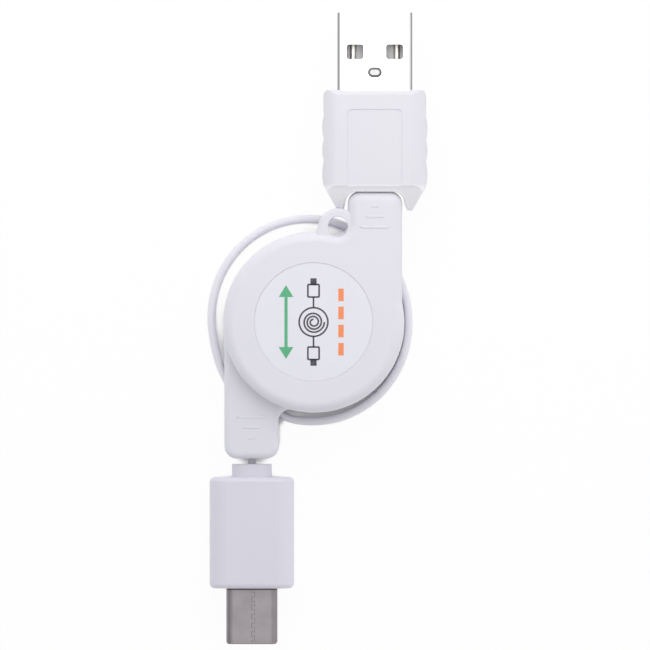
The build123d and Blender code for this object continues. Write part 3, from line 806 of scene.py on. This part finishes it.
def fork_lip_line(top):
    """The edge of the fork on the grip's slope, from one prong's tip round the arm's end to the other."""
    slant = FORK_SPREAD / FORK_LENGTH
    tip_y = DOCK_Y - FORK_LENGTH + LIP_SHORT
    tip_x = FORK_HALF + LIP_IN_WALL + slant * (DOCK_Y - tip_y)
    throat_y = DOCK_Y - THROAT_R
    throat_x = FORK_HALF + LIP_IN_WALL + slant * THROAT_R - THROAT_R / cos(atan(slant))
    side = [(tip_x + LIP_TURN_IN, tip_y), (tip_x, tip_y + LIP_SHORT)]
    for i in range(LIP_STEPS + 1):
        angle = atan(slant) + (pi / 2 - atan(slant)) * i / LIP_STEPS
        side.append((throat_x + THROAT_R * cos(angle), throat_y + THROAT_R * sin(angle)))
    outline = side + [(-x, y) for x, y in reversed(side)]
    points = [(ARM_A_X + x, y, top - LIP_SINK - SLOPE_FALL * (SLOPE_Y - y)) for x, y in outline]
    line = bpy.data.meshes.new("fork_lip_line")
    line.from_pydata(points, [(i, i + 1) for i in range(len(points) - 1)], [])
    return line


def tooth_line(pitch, depth):
    """One dovetail tooth of a folded seam as a line along Y, from one tooth to the next."""
    shape = (
        (0, 0),
        (0, TOOTH_NECK),
        (depth, TOOTH_HEAD),
        (depth, 1 - TOOTH_HEAD),
        (0, 1 - TOOTH_NECK),
        (0, 1),
    )
    line = bpy.data.meshes.new("tooth_line")
    points = [(x, y * pitch, 0) for x, y in shape]
    line.from_pydata(points, [(i, i + 1) for i in range(len(points) - 1)], [])
    return line


def seam_tree():
    """A fine line of dovetail teeth in a row, laid on a shell's face."""
    tree, given, result = node_tree(
        "folded_seam",
        [
            ("Tooth", "NodeSocketGeometry"),
            ("Count", "NodeSocketInt"),
            ("Place", "NodeSocketVector"),
            ("Pitch", "NodeSocketVector"),
            ("Line", "NodeSocketFloat"),
            ("Finish", "NodeSocketMaterial"),
        ],
    )
    tooth = step(tree, "GeometryNodeMeshToCurve", {"Mesh": given["Tooth"]})
    radius = sum_up(tree, "MULTIPLY", given["Line"], 0.5)
    circle = step(tree, "GeometryNodeCurvePrimitiveCircle", {"Resolution": SEAM_SIDES, "Radius": radius})
    bead = step(
        tree,
        "GeometryNodeCurveToMesh",
        {"Curve": tooth["Curve"], "Profile Curve": circle["Curve"], "Fill Caps": True},
    )
    flat = step(tree, "GeometryNodeTransform", {"Geometry": bead["Mesh"], "Scale": (1, 1, SEAM_FLATNESS)})
    row = step(
        tree,
        "GeometryNodeMeshLine",
        {"Count": given["Count"], "Start Location": given["Place"], "Offset": given["Pitch"]},
    )
    teeth = step(tree, "GeometryNodeInstanceOnPoints", {"Points": row["Mesh"], "Instance": flat["Geometry"]})
    close_tree(tree, teeth["Instances"], given["Finish"], result)
    return tree


folded_seam = seam_tree()
# Dark metal for the folded seams' gaps; the same finish paints the shade ring round the type A catch hole.
seam_and_shade_finish = drawn_steel("seam_gap", SEAM_DARK, SEAM_WORN, SEAM_ROUGHNESS, ALONG_Y)


def shell_seam(name, body, tooth, place, pitch, count, line):
    """A dark line on a folded shell: one tooth, a row of them from place along Y, or the catch hole's ring of
    painted shade.
    """
    values = {
        "Count": count,
        "Place": place,
        "Pitch": (0, pitch, 0),
        "Line": line,
        "Finish": seam_and_shade_finish,
    }
    made = finished(name, tooth, folded_seam, values)
    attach(made, body)


def slot_line(width, length):
    """The closed outline of a hole with round ends, wider than long, as a line about the origin."""
    line = bpy.data.meshes.new("slot_line")
    points = []
    for side, start in ((1, -pi / 2), (-1, pi / 2)):
        for i in range(CATCH_STEPS + 1):
            angle = start + pi * i / CATCH_STEPS
            x = side * (width - length) / 2 + length / 2 * cos(angle)
            points.append((x, length / 2 * sin(angle), 0))
    line.from_pydata(points, [(i, (i + 1) % len(points)) for i in range(len(points))], [])
    return line


plug_a_plastic = moulded_plastic(
    "plug_a_plastic",
    PLUG_A_WHITE,
    PLUG_A_SHADE,
    GRIP_ROUGHNESS,
    GRIP_EDGE,
    CORD_A_Z * MM,
    FORK_PAINTED_LIGHT,
)
dress("plug_a_overmould", plug_a_plastic)
grip_a_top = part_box("plug_a_overmould")[1]
lip_values = {"Diameter": LIP_D, "Finish": plug_a_plastic}
fork_lip = finished("plug_a_fork_lip", fork_lip_line(grip_a_top.z), cord_tree, lip_values)
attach(fork_lip, "plug_a")
nickel = drawn_steel("plug_a_nickel", NICKEL, NICKEL_SHADE, NICKEL_ROUGHNESS, ALONG_Y, NICKEL_FLANK_SHADE)
dress("plug_a_shell", nickel)
white_core = moulded_plastic("insulator_white", INSULATOR_WHITE, INSULATOR_SHADE, INSULATOR_ROUGHNESS)
dress("plug_a_insulator", white_core)
gilt = drawn_steel("contact_flash", FLASH_GILT, FLASH_SHADE, FLASH_ROUGHNESS, ALONG_Y, FLASH_FLANK_SHADE)
dress("plug_a_contacts", gilt)
shell_a_low, shell_a_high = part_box("plug_a_shell")
seam_a_count = int((shell_a_high.y - grip_a_top.y) / SEAM_A_PITCH)
shell_seam(
    "plug_a_seam",
    "plug_a",
    tooth_line(SEAM_A_PITCH, SEAM_A_DEPTH),
    (ARM_A_X, grip_a_top.y, shell_a_low.z),
    SEAM_A_PITCH,
    seam_a_count,
    SEAM_LINE,
)
# Painted shade: a dark ring is laid round the catch hole in the shell's top, for the shade in the gap at the
# hole's edge.
shell_seam(
    "plug_a_catch_shade_ring",
    "plug_a",
    slot_line(CATCH_WIDTH, CATCH_LENGTH),
    (ARM_A_X, shell_a_high.y - CATCH_FROM_TIP, shell_a_high.z),
    0,
    1,
    CATCH_SHADE_RING,
)


# Type C plug
# The same soft grip with a narrow collar for the cord, round a darker satin steel shell.
# Its folded seam runs along the middle. A black insulator holds two rows of contacts and two side latches.
PLUG_C_WHITE = (0.705, 0.69, 0.775, 1)
PLUG_C_SHADE = (0.69, 0.68, 0.765, 1)
SATIN_STEEL = (0.285, 0.26, 0.276, 1)
SATIN_SHADE = (0.248, 0.226, 0.24, 1)
SATIN_ROUGHNESS = 0.34
INSULATOR_BLACK = (0.02, 0.02, 0.022, 1)
INSULATOR_DULL = (0.03, 0.03, 0.033, 1)
BLACK_ROUGHNESS = 0.45
# Painted shadow: the steel shell is painted dark for 0.2 mm where it leaves the grip, fading out over 0.12 mm
# more, as the grip's shadow on it.
ROOT_PAINTED_SHADE = (0.05, 0.045, 0.048, 1)
ROOT_WIDTH = 0.32 * MM
ROOT_SOFT = 0.12 * MM
SEAM_C_PITCH = -1.4 * MM
SEAM_C_COUNT = 6
SEAM_C_START = 0.35 * MM
SEAM_C_DEPTH = 0.5 * MM

plug_c_plastic = moulded_plastic(
    "plug_c_plastic",
    PLUG_C_WHITE,
    PLUG_C_SHADE,
    GRIP_ROUGHNESS,
    GRIP_EDGE,
    CORD_C_Z * MM,
)
dress("plug_c_overmould", plug_c_plastic)
grip_c_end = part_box("plug_c_overmould")[0].y
shell_root_shade = (ROOT_PAINTED_SHADE, grip_c_end - ROOT_WIDTH, grip_c_end - ROOT_WIDTH + ROOT_SOFT)
satin = drawn_steel("plug_c_satin", SATIN_STEEL, SATIN_SHADE, SATIN_ROUGHNESS, ALONG_Y, root_shade=shell_root_shade)
dress("plug_c_shell", satin)
black_core = moulded_plastic("insulator_black", INSULATOR_BLACK, INSULATOR_DULL, BLACK_ROUGHNESS)
dress("plug_c_insulator", black_core)
dress("plug_c_contacts_upper", gilt)
dress("plug_c_contacts_lower", gilt)
dress("plug_c_latches", hard_steel)
shell_c_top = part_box("plug_c_shell")[1].z
shell_seam(
    "plug_c_seam",
    "plug_c",
    tooth_line(abs(SEAM_C_PITCH), SEAM_C_DEPTH),
    (ARM_C_X, grip_c_end - SEAM_C_START + SEAM_C_PITCH, shell_c_top),
    SEAM_C_PITCH,
    SEAM_C_COUNT,
    SEAM_LINE,
)


# Floor, light and camera
# A plain white table in a pale room, under a large soft lamp and a small near one beyond the type A plug.
# The camera looks almost straight down through a long lens.
FLOOR_HALF = 12.0
FLOOR_DROP = 0.02 * MM
FLOOR_WHITE = (0.95, 0.95, 0.95, 1)
FLOOR_GLOW = 0.95
CREVICE_REACH = 2 * MM
CREVICE_DARK = 0.5
CREVICE_OPEN = 0.57
KEY_PLACE = Vector((0.01, 0.1, 0.15))
KEY_SIZE = 0.15
KEY_POWER = 0.13
TOP_PLACE = Vector((0.05, 0.0, 1.5))
TOP_SIZE = 1.1
TOP_POWER = 1.5
ROOM_ZENITH = (0.38, 0.38, 0.38, 1)
ROOM_BRIGHT = (1.6, 1.6, 1.6, 1)
ROOM_DIM = (1.1, 1.1, 1.1, 1)
ROOM_BRIGHT_SIDE = (0.5, 0.85, 0)
ROOM_TURN = (-0.8, 0.3)
ROOM_TOP = 0.9
BACKDROP_ZENITH = (1.0, 1.0, 1.0, 1)
BACKDROP_BRIGHT = (1.15, 1.15, 1.15, 1)
BACKDROP_DIM = (0.28, 0.28, 0.28, 1)
VIEW_FROM = Vector((0.02, -0.013, 1)).normalized()
VIEW_AT = Vector((1.84, -0.48, 11.0)) * MM
VIEW_DISTANCE = 0.9
VIEW_WIDTH = 104 * MM
SENSOR = 36.0


def seen_directly(tree):
    """1 for rays from the camera and for mirrored or refracted ones, 0 for light that falls on the object."""
    path = tree.nodes.new("ShaderNodeLightPath").outputs
    mirrored = sum_up(tree, "MAXIMUM", path["Is Glossy Ray"], path["Is Transmission Ray"])
    return sum_up(tree, "MAXIMUM", path["Is Camera Ray"], mirrored)


def floor_material():
    """White table that glows where it is seen, apart from narrow crevices, so that its shadows stay faint."""
    made = bpy.data.materials.new("floor_white")
    made.use_nodes = True
    tree = made.node_tree
    tree.nodes.clear()
    matt = step(tree, "ShaderNodeBsdfDiffuse", {"Color": FLOOR_WHITE})
    glow = step(tree, "ShaderNodeEmission", {})
    openness = step(tree, "ShaderNodeAmbientOcclusion", {"Distance": CREVICE_REACH})["AO"]
    openness = spread(tree, openness, 0, FLOOR_GLOW, CREVICE_DARK, CREVICE_OPEN)
    mix = tree.nodes.new("ShaderNodeMixShader")
    tree.links.new(sum_up(tree, "MULTIPLY", seen_directly(tree), openness), mix.inputs["Fac"])
    tree.links.new(matt["BSDF"], mix.inputs[1])
    tree.links.new(glow["Emission"], mix.inputs[2])
    step(tree, "ShaderNodeOutputMaterial", {"Surface": mix.outputs["Shader"]})
    return made


def lamp(name, place, size, power):
    """A square soft lamp that faces the reel."""
    data = bpy.data.lights.new(name, "AREA")
    data.size = size
    data.energy = power
    made = bpy.data.objects.new(name, data)
    made.location = place
    made.rotation_mode = "QUATERNION"
    made.rotation_quaternion = place.to_track_quat("Z", "Y")
    made.visible_camera = False
    bpy.context.scene.collection.objects.link(made)


floor_mesh = bpy.data.meshes.new("floor")
floor_sides = ((-1, -1), (1, -1), (1, 1), (-1, 1))
floor_corners = [(x * FLOOR_HALF, y * FLOOR_HALF, -FLOOR_DROP) for x, y in floor_sides]
floor_mesh.from_pydata(floor_corners, [], [(0, 1, 2, 3)])
floor_mesh.materials.append(floor_material())
floor = bpy.data.objects.new("floor", floor_mesh)
bpy.context.scene.collection.objects.link(floor)

lamp("key_lamp", KEY_PLACE, KEY_SIZE, KEY_POWER)
lamp("top_lamp", TOP_PLACE, TOP_SIZE, TOP_POWER)

room = bpy.data.worlds.new("room")
room.use_nodes = True
bpy.context.scene.world = room
room_tree = room.node_tree
sky_place = room_tree.nodes.new("ShaderNodeTexCoord").outputs["Generated"]
height = step(room_tree, "ShaderNodeSeparateXYZ", {"Vector": sky_place})["Z"]
height = spread(room_tree, height, 0, 1, 0, ROOM_TOP)
facing = {0: sky_place, 1: ROOM_BRIGHT_SIDE}
side = step(room_tree, "ShaderNodeVectorMath", facing, operation="DOT_PRODUCT")["Value"]
side = spread(room_tree, side, 0, 1, *ROOM_TURN)
walls = two_colours(room_tree, side, ROOM_DIM, ROOM_BRIGHT)
room_light = two_colours(room_tree, height, walls, ROOM_ZENITH)
seen_walls = two_colours(room_tree, side, BACKDROP_DIM, BACKDROP_BRIGHT)
backdrop = two_colours(room_tree, height, seen_walls, BACKDROP_ZENITH)
room_colour = two_colours(room_tree, seen_directly(room_tree), room_light, backdrop)
room_tree.links.new(room_colour, room_tree.nodes["Background"].inputs["Color"])

camera_data = bpy.data.cameras.new("camera")
camera_data.sensor_width = SENSOR
camera_data.lens = SENSOR * VIEW_DISTANCE / VIEW_WIDTH
camera = bpy.data.objects.new("camera", camera_data)
right = Vector((0, 1, 0)).cross(VIEW_FROM).normalized()
up = VIEW_FROM.cross(right)
turn = Matrix((right, up, VIEW_FROM)).transposed()
camera.matrix_world = Matrix.Translation(VIEW_AT + VIEW_FROM * VIEW_DISTANCE) @ turn.to_4x4()
bpy.context.scene.collection.objects.link(camera)
bpy.context.scene.camera = camera
bpy.context.scene.view_settings.view_transform = "Standard"
